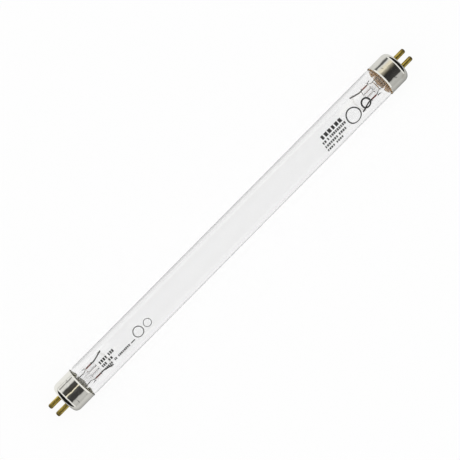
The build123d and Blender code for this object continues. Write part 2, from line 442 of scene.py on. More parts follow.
@dataclass(frozen=True)
class BakedMass(Finish):
    """Dull moulded or baked mass, speckled and pitted: cement and the insulator's plastic."""

    name: str
    colour: Colour
    speck: Colour
    specks_per_mm: float
    rough: Range
    pits: Relief
    specks_per_cloud: float = 5.0
    speck_span: Range = (0.35, 0.72)
    rough_span: Range = (0.3, 0.7)

    def dress(self, sketch: NodeSketch) -> None:
        """Dull mass with specks, more of them in clouds, and pits.

        Args:
            sketch: where the nodes go.
        """
        waves = self.specks_per_mm / MM
        specks = sketch.grain(Grain.even(waves, detail=5.0, rough=0.65))
        cloud = sketch.grain(Grain.even(waves / self.specks_per_cloud, detail=2.0))
        share = sketch.math("MULTIPLY", sketch.spread(specks, self.speck_span, FULL), cloud)
        sketch.surface(
            {
                "Base Color": sketch.blend(share, self.colour, self.speck),
                "Roughness": sketch.spread(specks, self.rough_span, self.rough),
                "Normal": sketch.bump(specks, self.pits),
            }
        )


@dataclass(frozen=True)
class DrawnWire(Finish):
    """Wire with a scale or oxide skin that varies along it."""

    name: str
    colour: Colour
    scale: Colour
    metallic: float
    rough: Range
    patches: Grain = Grain.even(900.0, detail=4.0)
    patch_span: Range = (0.35, 0.68)
    lines: Grain = Grain((900.0, 9000.0, 9000.0), detail=2.0)
    line_relief: Relief = Relief(0.15, 0.02)

    def dress(self, sketch: NodeSketch) -> None:
        """Wire darkened in patches, with fine drawing lines.

        Args:
            sketch: where the nodes go.
        """
        patches = sketch.spread(sketch.grain(self.patches), self.patch_span, FULL)
        sketch.surface(
            {
                "Base Color": sketch.blend(patches, self.colour, self.scale),
                "Metallic": self.metallic,
                "Roughness": sketch.spread(patches, FULL, self.rough),
                "Normal": sketch.bump(sketch.grain(self.lines), self.line_relief),
            }
        )


@dataclass(frozen=True)
class OxideCoat(Finish):
    """White powdery coating of the electrode's coil."""

    name: str
    colour: Colour
    shade: Colour
    crust: Grain = Grain.even(7000.0, detail=4.0, rough=0.7)
    crust_span: Range = (0.2, 0.8)
    crust_relief: Relief = Relief(0.5, 0.05)
    rough: Range = (0.8, 1.0)

    def dress(self, sketch: NodeSketch) -> None:
        """Powdery white with a coarse crust.

        Args:
            sketch: where the nodes go.
        """
        crust = sketch.grain(self.crust)
        sketch.surface(
            {
                "Base Color": sketch.blend(crust, self.shade, self.colour),
                "Roughness": sketch.spread(crust, self.crust_span, self.rough),
                "Normal": sketch.bump(crust, self.crust_relief),
            }
        )


@dataclass(frozen=True)
class LiquidMetal(Finish):
    """Bead of mercury with a faint skin."""

    name: str
    colour: Colour
    skin: Grain = Grain.even(2600.0)
    skin_span: Range = (0.4, 0.75)
    rough: Range = (0.02, 0.14)

    def dress(self, sketch: NodeSketch) -> None:
        """Mirror metal, dulled in patches.

        Args:
            sketch: where the nodes go.
        """
        sketch.surface(
            {
                "Base Color": (*self.colour, 1.0),
                "Metallic": 1.0,
                "Roughness": sketch.spread(sketch.grain(self.skin), self.skin_span, self.rough),
            }
        )


@dataclass(frozen=True)
class PadInk(Finish):
    """Dark printing ink, thinner in places."""

    name: str
    colour: Colour
    thin: Colour
    uneven: Grain = Grain.even(1500.0, detail=4.0, rough=0.7)
    thin_over: Range = (0.42, 0.72)
    rough_span: Range = (0.3, 0.7)
    rough: Range = (0.35, 0.6)
    relief: Relief = Relief(0.2, 0.01)

    def dress(self, sketch: NodeSketch) -> None:
        """Ink that is uneven and slightly glossy.

        Args:
            sketch: where the nodes go.
        """
        uneven = sketch.grain(self.uneven)
        stops = tuple(zip(self.thin_over, (self.colour, self.thin)))
        sketch.surface(
            {
                "Base Color": sketch.ramp(uneven, stops),
                "Roughness": sketch.spread(uneven, self.rough_span, self.rough),
                "Normal": sketch.bump(uneven, self.relief),
            }
        )


CEMENT_PITS = Relief(0.2, 0.08)
CEMENT_ROUGH: Range = (0.8, 1.0)
# colour of the painted shade that darkens the pins towards their tips
PAINTED_TIP_SHADE: Colour = (0.10, 0.07, 0.03)

TUBE_GLASS = ClearGlass("tube_glass")
STEM_GLASS = ClearGlass("stem_glass", Relief(0.04, 0.2))
CAP_METAL = DrawnMetal("cap_metal", (0.86, 0.85, 0.79), (0.64, 0.61, 0.54), (0.03, 0.08))
PIN_BRASS = PinBrass("pin_brass", (0.70, 0.54, 0.13), (0.40, 0.29, 0.07), PAINTED_TIP_SHADE, (110.6, 113.2))
INSULATOR = BakedMass(
    "insulator", (0.045, 0.035, 0.03), (0.13, 0.10, 0.08), 4.0, (0.42, 0.62), Relief(0.12, 0.08)
)
# one cement drawn as two copies: the left copy is darker and greyer than the right one, as painted shade
CEMENT = {
    End.LEFT: BakedMass(
        "cement_left", (0.27, 0.26, 0.20), (0.52, 0.505, 0.42), 0.9, CEMENT_ROUGH, CEMENT_PITS
    ),
    End.RIGHT: BakedMass(
        "cement_right", (0.55, 0.35, 0.19), (0.96, 0.85, 0.62), 0.5, CEMENT_ROUGH, CEMENT_PITS
    ),
}
OUTER_LEAD = DrawnWire("outer_lead_metal", (0.34, 0.33, 0.31), (0.16, 0.15, 0.14), 0.9, (0.3, 0.55))
SEAL_COPPER = DrawnWire("seal_copper", (0.27, 0.055, 0.04), (0.13, 0.02, 0.015), 0.2, (0.35, 0.55))
INNER_LEAD = DrawnWire("inner_lead_metal", (0.075, 0.07, 0.065), (0.03, 0.028, 0.026), 0.5, (0.35, 0.6))
COIL_COAT = OxideCoat("coil_coating", (0.94, 0.94, 0.92), (0.80, 0.79, 0.76))
MERCURY = LiquidMetal("mercury", (0.86, 0.87, 0.88))
INK = PadInk("ink", (0.018, 0.018, 0.018), (0.075, 0.072, 0.07))


@dataclass(frozen=True)
class Corner:
    """A corner of a turned outline: its place along the axis, its distance from it and its rounding."""

    x: float
    radius: float
    rounding: float = 0.0


class OutlinePen:
    """Draws the outline of a turned piece and turns it about the tube's axis."""

    def __init__(self, x: float, radius: float) -> None:
        """Put the pen down.

        Args:
            x: the place along the axis.
            radius: the distance from the axis.
        """
        self.mesh = bmesh.new()
        self.start = self.mesh.verts.new((x, radius, 0.0))
        self.tip = self.start

    @classmethod
    def along(cls, corners: Sequence[Corner]) -> "OutlinePen":
        """Put a pen down and draw through corners.

        Args:
            corners: the outline's corners in order; the first and last are sharp.

        Returns:
            The pen, at the last corner.
        """
        pen = cls(corners[0].x, corners[0].radius)
        pen.through(corners)
        return pen

    def through(self, corners: Sequence[Corner]) -> None:
        """Draw straight sides from corner to corner, with an arc at each rounded one.

        Args:
            corners: the corners in order, from the one where the pen is.
        """
        for before, corner, after in zip(corners, corners[1:], corners[2:]):
            self.turn_at(before, corner, after)
        self.line_to(corners[-1].x, corners[-1].radius)

    def line_to(self, x: float, radius: float) -> None:
        """Draw a straight side.

        Args:
            x: the end's place along the axis.
            radius: the end's distance from the axis.
        """
        if (Vector((x, radius, 0.0)) - self.tip.co).length < TINY:
            return
        made = bmesh.ops.extrude_vert_indiv(self.mesh, verts=[self.tip])
        self.tip = made["verts"][0]
        self.tip.co = (x, radius, 0.0)

    def arc(self, x: float, radius: float, angle: float, steps: int) -> None:
        """Draw an arc about a centre.

        Args:
            x: the centre's place along the axis.
            radius: the centre's distance from the axis.
            angle: the arc's angle in radians, positive if anticlockwise.
            steps: straight pieces of the arc.
        """
        made = bmesh.ops.spin(
            self.mesh,
            geom=[self.tip],
            cent=(x, radius, 0.0),
            axis=(0.0, 0.0, 1.0),
            angle=angle,
            steps=steps,
            use_merge=False,
        )
        self.tip = next(item for item in made["geom_last"] if isinstance(item, BMVert))

    def turn_at(self, before: Corner, corner: Corner, after: Corner) -> None:
        """Draw up to a corner and round it.

        Args:
            before: the corner that the side comes from.
            corner: the corner to round.
            after: the corner that the next side goes to.
        """
        here = Vector((corner.x, corner.radius))
        inward = (here - Vector((before.x, before.radius))).normalized()
        outward = (Vector((after.x, after.radius)) - here).normalized()
        angle = inward.angle_signed(outward, 0.0)
        if corner.rounding == 0.0 or abs(angle) < TINY:
            self.line_to(corner.x, corner.radius)
            return
        start = here - inward * corner.rounding * tan(abs(angle) / 2)
        self.line_to(start.x, start.y)
        side = Vector((inward.y, -inward.x)) * copysign(corner.rounding, angle)
        centre = start + side
        self.arc(centre.x, centre.y, -angle, max(FEWEST_STEPS, int(abs(angle) / ARC_STEP) + 1))

    def ease_to(self, x: float, radius: float, steps: int) -> None:
        """Draw a quarter of an ellipse to a point, leaving square to the axis.

        Args:
            x: the point's place along the axis.
            radius: the point's distance from the axis.
            steps: straight pieces of the curve.
        """
        begin = self.tip.co.copy()
        for step in range(1, steps + 1):
            angle = pi / 2 * step / steps
            self.line_to(x + (begin.x - x) * cos(angle), begin.y + (radius - begin.y) * sin(angle))

    def close_at(self, x: float, steps: int) -> None:
        """Draw a quarter of an ellipse to a point on the axis, leaving along the axis.

        Args:
            x: the point's place.
            steps: straight pieces of the curve.
        """
        begin = self.tip.co.copy()
        for step in range(1, steps + 1):
            angle = pi / 2 * step / steps
            self.line_to(begin.x - (begin.x - x) * sin(angle), begin.y * cos(angle))

    def part_long_sides(self, length: float, after: float) -> None:
        """Cut the sides beyond a place into pieces.

        Args:
            length: the longest piece.
            after: the place along the axis.
        """
        for edge in self.mesh.edges[:]:
            if min(vert.co.x for vert in edge.verts) >= after:
                cuts = int(edge.calc_length() / length)
                if cuts:
                    bmesh.ops.subdivide_edges(self.mesh, edges=[edge], cuts=cuts)

    def turned(self, segments: int, closed: bool = False) -> BMesh:
        """Turn the outline about the tube's axis.

        Args:
            segments: steps round the axis.
            closed: joins the last corner to the first before the turn.

        Returns:
            The turned mesh, faces outwards.
        """
        if closed:
            self.mesh.edges.new((self.tip, self.start))
        bmesh.ops.spin(
            self.mesh,
            geom=self.mesh.verts[:] + self.mesh.edges[:],
            cent=(0.0, 0.0, 0.0),
            axis=(1.0, 0.0, 0.0),
            angle=2 * pi,
            steps=segments,
            use_merge=True,
        )
        bmesh.ops.remove_doubles(self.mesh, verts=self.mesh.verts[:], dist=WELD)
        bmesh.ops.recalc_face_normals(self.mesh, faces=self.mesh.faces[:])
        return self.mesh


class WireBender:
    """Draws a round wire out of a ring, straight or bent, and closes its ends."""

    def __init__(self, diameter: float, start: Vector, heading: Vector, sides: int = 20) -> None:
        """Set the first ring, square to the wire's heading.

        Args:
            diameter: the wire's thickness.
            start: the ring's middle.
            heading: the way that the wire leaves.
            sides: flats round the wire.
        """
        self.mesh = bmesh.new()
        turn = heading.to_track_quat("Z", "Y").to_matrix().to_4x4()
        bmesh.ops.create_circle(
            self.mesh,
            cap_ends=True,
            segments=sides,
            radius=diameter / 2,
            matrix=Matrix.Translation(start) @ turn,
        )
        self.ring = self.mesh.edges[:]
        self.place = start.copy()

    @classmethod
    def through(cls, diameter: float, points: Sequence[Vector], radii: Sequence[float]) -> BMesh:
        """Draw a wire through points, bent round each inner one.

        Args:
            diameter: the wire's thickness.
            points: ends and corners in order.
            radii: bend radius at each inner point.

        Returns:
            The closed wire's mesh.
        """
        bender = cls(diameter, points[0], (points[1] - points[0]).normalized())
        for before, corner, after, radius in zip(points, points[1:], points[2:], radii):
            bender.bend_at(before, corner, after, radius)
        bender.run_to(points[-1])
        return bender.closed()

    def ring_points(self) -> list[BMVert]:
        """The vertices of the wire's present end."""
        return list({vert for edge in self.ring for vert in edge.verts})

    def run_to(self, end: Vector) -> None:
        """Draw a straight run.

        Args:
            end: the middle of the ring at the run's end.
        """
        made = bmesh.ops.extrude_edge_only(self.mesh, edges=self.ring)["geom"]
        fresh = [item for item in made if isinstance(item, BMVert)]
        bmesh.ops.translate(self.mesh, vec=end - self.place, verts=fresh)
        kept = set(fresh)
        edges = [item for item in made if isinstance(item, BMEdge)]
        self.ring = [edge for edge in edges if kept.issuperset(edge.verts)]
        self.place = end.copy()

    def swing(self, centre: Vector, axis: Vector, angle: float, steps: int, drift: Vector) -> None:
        """Draw a bend or a coil about an axis.

        Args:
            centre: a point on the axis.
            axis: the axis's direction.
            angle: how far to turn, in radians.
            steps: straight pieces of the bend.
            drift: shift at each step.
        """
        made = bmesh.ops.spin(
            self.mesh,
            geom=self.ring_points() + self.ring,
            cent=centre,
            axis=axis,
            dvec=drift,
            angle=angle,
            steps=steps,
            use_merge=False,
        )["geom_last"]
        self.ring = [item for item in made if isinstance(item, BMEdge)]
        self.place = Matrix.Rotation(angle, 3, axis) @ (self.place - centre) + centre + drift * steps

    def bend_at(self, before: Vector, corner: Vector, after: Vector, radius: float) -> None:
        """Draw up to a corner and bend round it.

        Args:
            before: the point that the wire comes from.
            corner: the corner.
            after: the point that the wire goes to.
            radius: the bend's radius.
        """
        inward = (corner - before).normalized()
        outward = (after - corner).normalized()
        angle = inward.angle(outward)
        axis = inward.cross(outward).normalized()
        self.run_to(corner - inward * radius * tan(angle / 2))
        steps = max(FEWEST_STEPS, int(angle / BEND_STEP))
        self.swing(self.place + axis.cross(inward) * radius, axis, angle, steps, Vector())

    def closed(self) -> BMesh:
        """Close the wire's present end.

        Returns:
            The wire's mesh.
        """
        bmesh.ops.edgenet_fill(self.mesh, edges=self.ring)
        bmesh.ops.recalc_face_normals(self.mesh, faces=self.mesh.faces[:])
        return self.mesh


def finished(
    name: str,
    mesh: BMesh,
    place: Matrix,
    finish: Finish,
    nodes: Sequence[str] = (),
    sharp: float = 32.0,
) -> Object:
    """Make a drawn mesh a piece of the lamp.

    Args:
        name: the piece's name.
        mesh: the drawn mesh in millimetres; it is freed.
        place: matrix to the lamp's frame, in millimetres.
        finish: what the piece is made of.
        nodes: CAD nodes that the piece stands for.
        sharp: angle in degrees above which an edge stays sharp.

    Returns:
        The piece, riding on the lamp's body.
    """
    bmesh.ops.transform(mesh, matrix=Matrix.Scale(MM, 4) @ place, verts=mesh.verts[:])
    data = bpy.data.meshes.new(name)
    mesh.to_mesh(data)
    mesh.free()
    data.shade_smooth()
    data.set_sharp_from_angle(angle=radians(sharp))
    data.materials.append(finish.material())
    piece = bpy.data.objects.new(name, data)
    bpy.context.scene.collection.objects.link(piece)
    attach(piece, BODY)
    if nodes:
        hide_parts(*nodes)
    log.info("%s: %d faces", name, len(data.polygons))
    return piece


def dress_node(name: str, finish: Finish) -> None:
    """Give a CAD node that stays its finish.

    Args:
        name: the node's name.
        finish: what it is made of.
    """
    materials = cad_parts[name].data.materials
    materials.clear()
    materials.append(finish.material())
    log.info("%s: dressed", name)


@dataclass
class GlassTube:
    """Clear tube, its ends drawn in under the caps."""

    wall: float = 0.8
    neck: float = 7.3
    neck_start: float = 95.25
    full_start: float = 93.75
    ease: float = 1.6
    segments: int = 192

    def build(self) -> Object:
        """Turn the tube's wall.

        Returns:
            The tube.
        """
        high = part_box("glass_tube")[1]
        end = high.x / MM
        radius = high.z / MM
        outside = self.side(end, radius, self.neck)
        inside = self.side(end, radius - self.wall, self.neck - self.wall)
        mesh = OutlinePen.along(outside + inside[::-1]).turned(self.segments, closed=True)
        return finished("tube", mesh, Matrix.Identity(4), TUBE_GLASS, ["glass_tube"])

    def side(self, end: float, radius: float, neck: float) -> list[Corner]:
        """One skin of the wall.

        Args:
            end: half of the tube's length.
            radius: the skin's radius.
            neck: its radius at the drawn-in ends.

        Returns:
            The skin's corners, from the left end to the right.
        """
        half = [
            Corner(-end, neck),
            Corner(-self.neck_start, neck, self.ease),
            Corner(-self.full_start, radius, self.ease),
        ]
        return half + [Corner(-corner.x, corner.radius, corner.rounding) for corner in half[::-1]]


@dataclass
class ContactPin:
    """Solid pin of one end, with a rounded tip and a rivet head behind the disc."""

    end: End
    side: Side
    radius: float = 1.185
    tip_round: float = 0.7
    shank: float = 0.94
    head: float = 1.55
    head_height: float = 0.4
    head_round: float = 0.1
    segments: int = 64

    def build(self) -> Object:
        """Turn the pin and set it beside the tube's axis.

        Returns:
            The pin.
        """
        low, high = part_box(self.end.node("contact_pin_a"))
        shift = Matrix.Translation((0.0, abs(low.y + high.y) / 2 / MM * self.side.value, 0.0))
        name = f"pin_{self.end.label}{self.side.suffix}"
        nodes = [self.end.node(f"contact_pin{self.side.suffix}")]
        mesh = OutlinePen.along(self.outline()).turned(self.segments)
        return finished(name, mesh, self.end.place() @ shift, PIN_BRASS, nodes)

    def outline(self) -> list[Corner]:
        """Half of the pin's lengthwise section.

        Returns:
            Its corners, from the tip to the rivet head.
        """
        low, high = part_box(self.end.node("contact_pin_a"))
        cap_low, cap_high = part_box(self.end.node("cap_shell"))
        outside = cap_low.x - low.x if self.end is End.LEFT else high.x - cap_high.x
        tip = -outside / MM
        back = tip + (high.x - low.x) / MM
        return [
            Corner(tip, 0.0),
            Corner(tip, self.radius, self.tip_round),
            Corner(0.0, self.radius),
            Corner(0.0, self.shank),
            Corner(back - self.head_height, self.shank),
            Corner(back - self.head_height, self.head, self.head_round),
            Corner(back, self.head, self.head_round),
            Corner(back, 0.0),
        ]


@dataclass
class CementSleeve:
    """Basing cement of one end, between the cap and the glass."""

    end: End
    start: float = 4.8
    stop: float = 10.7
    inner: float = 7.31
    outer: float = 7.6
    inner_round: float = 0.05
    outer_round: float = 0.1
    edge_length: float = 0.3
    edge_swing: float = 0.06
    edge_waves: float = 0.9
    segments: int = 192

    def build(self) -> Object:
        """Turn the sleeve and leave its seen edge uneven.

        Returns:
            The sleeve.
        """
        outline = [
            Corner(self.start, self.inner),
            Corner(self.stop, self.inner, self.inner_round),
            Corner(self.stop, self.outer, self.outer_round),
            Corner(self.start, self.outer),
        ]
        mesh = OutlinePen.along(outline).turned(self.segments, closed=True)
        for vert in mesh.verts:
            if vert.co.x > self.stop - self.edge_length:
                vert.co.x += self.edge_swing * noise.noise(vert.co * self.edge_waves)
        name = f"cement_{self.end.label}"
        nodes = [self.end.node("cement_ring")]
        return finished(name, mesh, self.end.place(), CEMENT[self.end], nodes)


@dataclass
class Cap:
    """Drawn metal cap with its insulator, pins and cement, at one end."""

    end: End
    length: float = 10.8
    radius: float = 7.9
    wall: float = 0.25
    shoulder: float = 1.6
    shoulder_length: float = 2.6
    shoulder_steps: int = 28
    hole: float = 5.2
    rim_flare: float = 0.1
    rim_flare_length: float = 0.7
    rim_ease: float = 1.2
    sharp: float = 40.0
    segments: int = 192

    def build(self) -> None:
        """Make the cap's pieces and dress its disc."""
        name = f"cap_{self.end.label}"
        nodes = [self.end.node("cap_shell")]
        finished(name, self.shell(), self.end.place(), CAP_METAL, nodes, self.sharp)
        for side in Side:
            ContactPin(self.end, side).build()
        CementSleeve(self.end).build()
        dress_node(self.end.node("insulator_disc"), INSULATOR)

    def shell(self) -> BMesh:
        """Turn the outer skin of the sheet, then give it its thickness.

        Returns:
            The sheet's mesh.
        """
        pen = OutlinePen(0.0, self.hole)
        pen.line_to(0.0, self.radius - self.shoulder)
        pen.ease_to(self.shoulder_length, self.radius, self.shoulder_steps)
        bend = Corner(self.length - self.rim_flare_length, self.radius, self.rim_ease)
        rim = Corner(self.length, self.radius + self.rim_flare)
        pen.through([Corner(self.shoulder_length, self.radius), bend, rim])
        mesh = pen.turned(self.segments)
        across = Vector((0.0, 1.0, 1.0))
        if sum(face.normal.dot(face.calc_center_median() * across) for face in mesh.faces) < 0:
            bmesh.ops.reverse_faces(mesh, faces=mesh.faces[:])
        bmesh.ops.solidify(mesh, geom=mesh.faces[:], thickness=self.wall)
        bmesh.ops.recalc_face_normals(mesh, faces=mesh.faces[:])
        return mesh


@dataclass
class Stem:
    """Glass stem of one end: flare, tube and pressed flat, with the pump tube inside it."""

    end: End
    rim: float = 6.46
    rim_start: float = 4.0
    rim_round: float = 0.15
    wall: float = 0.7
    flare_end: float = 6.7
    radius: float = 4.0
    press_from: float = 14.0
    press_to: float = 16.0
    flat_end: float = 20.8
    flat_bow: float = 1.2
    flat_height: float = 1.2
    flat_round: float = 0.5
    flat_step: float = 0.3
    hollow_height: float = 0.4
    hollow_round: float = 0.25
    barrel: float = 1.8
    pump_radius: float = 1.4
    pump_bore: float = 0.8
    pump_mouth: float = 0.15
    pump_root: float = 0.08
    pump_tip: float = 3.7
    pump_tip_wall: float = 0.6
    pump_shoulder: float = 6.7
    bore_steps: int = 10
    tip_steps: int = 12
    sharp: float = 50.0
    segments: int = 128

    def build(self) -> Object:
        """Turn the stem as one skin, then press its end flat.

        Returns:
            The stem with its pump tube.
        """
        mesh = self.outline().turned(self.segments)
        for vert in mesh.verts:
            vert.co.z = self.pressed(vert.co)
            vert.co.x = self.bowed(vert.co)
        bmesh.ops.recalc_face_normals(mesh, faces=mesh.faces[:])
        nodes = [self.end.node("stem"), self.end.node("exhaust_tube")]
        name = f"stem_glass_{self.end.label}"
        return finished(name, mesh, self.end.place(), STEM_GLASS, nodes, self.sharp)

    def outline(self) -> OutlinePen:
        """Draw the stem's skin before it is pressed.

        Returns:
            A pen that went from the pump tube's bore over the flat's end and the flare to its tip.
        """
        inner = self.radius - self.wall
        flare_top = self.rim_start + self.wall
        pen = OutlinePen(self.pump_tip + self.pump_tip_wall, 0.0)
        pen.ease_to(self.pump_shoulder, self.pump_bore, self.bore_steps)
        pen.through(
            [
                Corner(self.pump_shoulder, self.pump_bore),
                Corner(self.flat_end, self.pump_bore, self.pump_mouth),
                Corner(self.flat_end, self.radius, self.flat_round),
                Corner(self.press_from, self.radius),
                Corner(flare_top, self.radius, self.flare_end - self.rim_start - self.wall),
                Corner(flare_top, self.rim, self.rim_round),
                Corner(self.rim_start, self.rim, self.rim_round),
                Corner(self.rim_start, inner, self.flare_end - self.rim_start),
                Corner(self.press_from, inner),
                Corner(self.press_to, inner, self.hollow_round),
                Corner(self.press_to, self.pump_radius, self.pump_root),
                Corner(self.pump_shoulder, self.pump_radius),
            ]
        )
        pen.close_at(self.pump_tip, self.tip_steps)
        pen.part_long_sides(self.flat_step, self.press_from - SLACK)
        return pen

    def pressed(self, point: Vector) -> float:
        """Press a point of the turned skin towards the flat.

        Args:
            point: the point's place on the round stem.

        Returns:
            Its new height: the pump tube stays as it is, and what is outside it moves in proportion.
        """
        inner = self.radius - self.wall
        distance = hypot(point.y, point.z)
        if point.x <= self.press_to + SLACK and distance <= inner + SLACK:
            skin, kept = inner, self.pump_radius + self.pump_root
            height, dome = self.hollow_height, self.pump_radius + 2 * self.pump_root
        else:
            skin, kept = self.radius, self.pump_bore + self.pump_mouth
            height, dome = self.flat_height, self.barrel
        round_height = sqrt(max(skin**2 - point.y**2, 0.0))
        if point.x <= self.press_from or distance <= kept + SLACK or round_height < SLACK:
            return point.z
        barrel_height = min(round_height, sqrt(max(dome**2 - point.y**2, 0.0)))
        flat = max(height * tanh(round_height / height), barrel_height)
        still = sqrt(max(kept**2 - point.y**2, 0.0))
        moved = still + (abs(point.z) - still) * (flat - still) / (round_height - still)
        share = min(1.0, (point.x - self.press_from) / (self.press_to - self.press_from))
        return copysign(abs(point.z) * (1 - share) + moved * share, point.z)

    def bowed(self, point: Vector) -> float:
        """Draw a point back where the flat's end bows away beside its middle.

        Args:
            point: the point's place.

        Returns:
            Its new place along the axis.
        """
        if point.x <= self.press_to:
            return point.x
        bow_radius = (self.radius**2 + self.flat_bow**2) / (2 * self.flat_bow)
        drawn_back = bow_radius - sqrt(bow_radius**2 - point.y**2)
        return point.x - drawn_back * (point.x - self.press_to) / (self.flat_end - self.press_to)


@dataclass
class Electrode:
    """Wires of one end and the coil that they hold."""

    end: End
    pin_y: float = 2.375
    seal_y: float = 3.0
    hook_y: float = 4.2
    outer_start: float = 1.7
    outer_bend: float = 14.0
    seal_bend: float = 15.5
    first_weld: float = 16.5
    second_weld: float = 19.3
    inner_bend: float = 21.3
    hook_tip: float = 26.2
    hook_rise: float = 1.75
    hook_length: float = 1.8
    outer_diameter: float = 0.4
    seal_wire_diameter: float = 0.65
    inner_diameter: float = 0.65
    bend_radius: float = 1.2
    fold_radius: float = 0.865
    coil_place: float = 25.25
    coil_bow: float = 1.2
    coil_diameter: float = 1.0
    coil_wire: float = 0.3
    coil_wire_sides: int = 10
    coil_turns: int = 12
    coil_turn_steps: int = 20
    coil_overhang: float = 0.6

    def build(self) -> None:
        """Make the wires of both sides and the coil."""
        place = self.end.place()
        label = self.end.label
        for side in Side:
            suffix = side.suffix
            for kind, mesh, finish, slot in (
                ("outer_lead", self.outer_lead(side), OUTER_LEAD, "outer_lead_metal"),
                ("seal_wire", self.seal_wire(side), SEAL_COPPER, "seal_copper"),
                ("inner_lead", self.inner_lead(side), INNER_LEAD, "inner_lead_metal"),
            ):
                nodes = [self.end.node(f"{kind}{suffix}")]
                finished(f"{kind}_wire_{label}{suffix}", mesh, place, finish, nodes)
        nodes = [self.end.node("filament")]
        finished(f"coil_{label}", self.coil(), place, COIL_COAT, nodes)

    def outer_lead(self, side: Side) -> BMesh:
        """Bend the wire from the pin to the first weld.

        Args:
            side: the wire's side.

        Returns:
            The wire's mesh.
        """
        turn = side.value
        points = [
            Vector((self.outer_start, turn * self.pin_y, 0.0)),
            Vector((self.outer_bend, turn * self.pin_y, 0.0)),
            Vector((self.seal_bend, turn * self.seal_y, 0.0)),
            Vector((self.first_weld, turn * self.seal_y, 0.0)),
        ]
        return WireBender.through(self.outer_diameter, points, [self.bend_radius, self.bend_radius])

    def seal_wire(self, side: Side) -> BMesh:
        """Copper-clad wire inside the pressed glass."""
        ends = [Vector((x, side.value * self.seal_y, 0.0)) for x in (self.first_weld, self.second_weld)]
        return WireBender.through(self.seal_wire_diameter, ends, [])

    def inner_lead(self, side: Side) -> BMesh:
        """Bend the wire from the second weld to the hook that is folded over the coil.

        Args:
            side: the wire's side.

        Returns:
            The wire's mesh.
        """
        turn = side.value
        run = Vector((self.hook_tip - self.inner_bend, turn * (self.hook_y - self.seal_y), 0.0))
        tip = Vector((self.hook_tip, turn * self.hook_y, 0.0))
        top = tip + Vector((0.0, 0.0, self.hook_rise))
        points = [
            Vector((self.second_weld, turn * self.seal_y, 0.0)),
            Vector((self.inner_bend, turn * self.seal_y, 0.0)),
            tip,
            top,
            top - run.normalized() * self.hook_length,
        ]
        radii = [self.bend_radius, self.fold_radius, self.fold_radius]
        return WireBender.through(self.inner_diameter, points, radii)

    def coil(self) -> BMesh:
        """Wind the coil straight along y, then bow it between its hooks.

        Returns:
            The coil's mesh.
        """
        half = self.hook_y + self.coil_overhang
        start = Vector(((self.coil_diameter - self.coil_wire) / 2, half, 0.0))
        bender = WireBender(self.coil_wire, start, Vector((0.0, 0.0, 1.0)), self.coil_wire_sides)
        steps = self.coil_turns * self.coil_turn_steps
        drift = Vector((0.0, -2 * half / steps, 0.0))
        centre = Vector((0.0, half, 0.0))
        bender.swing(centre, Vector((0.0, -1.0, 0.0)), 2 * pi * self.coil_turns, steps, drift)
        mesh = bender.closed()
        bow_radius = (self.hook_y**2 + self.coil_bow**2) / (2 * self.coil_bow)
        for vert in mesh.verts:
            bow = sqrt(bow_radius**2 - vert.co.y**2) - bow_radius + self.coil_bow
            vert.co += Vector((self.coil_place + bow, 0.0, self.hook_rise / 2))
        return mesh


@dataclass(frozen=True)
class PrintBlock:
    """A plain block: its middle along the tube and round it, its width along the tube and its height."""

    x: float
    across: float
    width: float
    height: float


@dataclass(frozen=True)
class PrintRing:
    """A plain ring: its middle along the tube and round it, its outer radius and its stroke."""

    x: float
    across: float
    radius: float
    stroke: float


@dataclass(frozen=True)
class PrintRow:
    """A row of blocks: its start along the tube, its middle round it and the ends of its groups."""

    start: float
    across: float
    height: float
    pitch: float
    groups: tuple[Range, ...]


@dataclass(frozen=True)
class PrintField:
    """All the print at one end of the tube."""

    name: str
    rows: tuple[PrintRow, ...]
    rings: tuple[PrintRing, ...]
    blocks: tuple[PrintBlock, ...] = ()


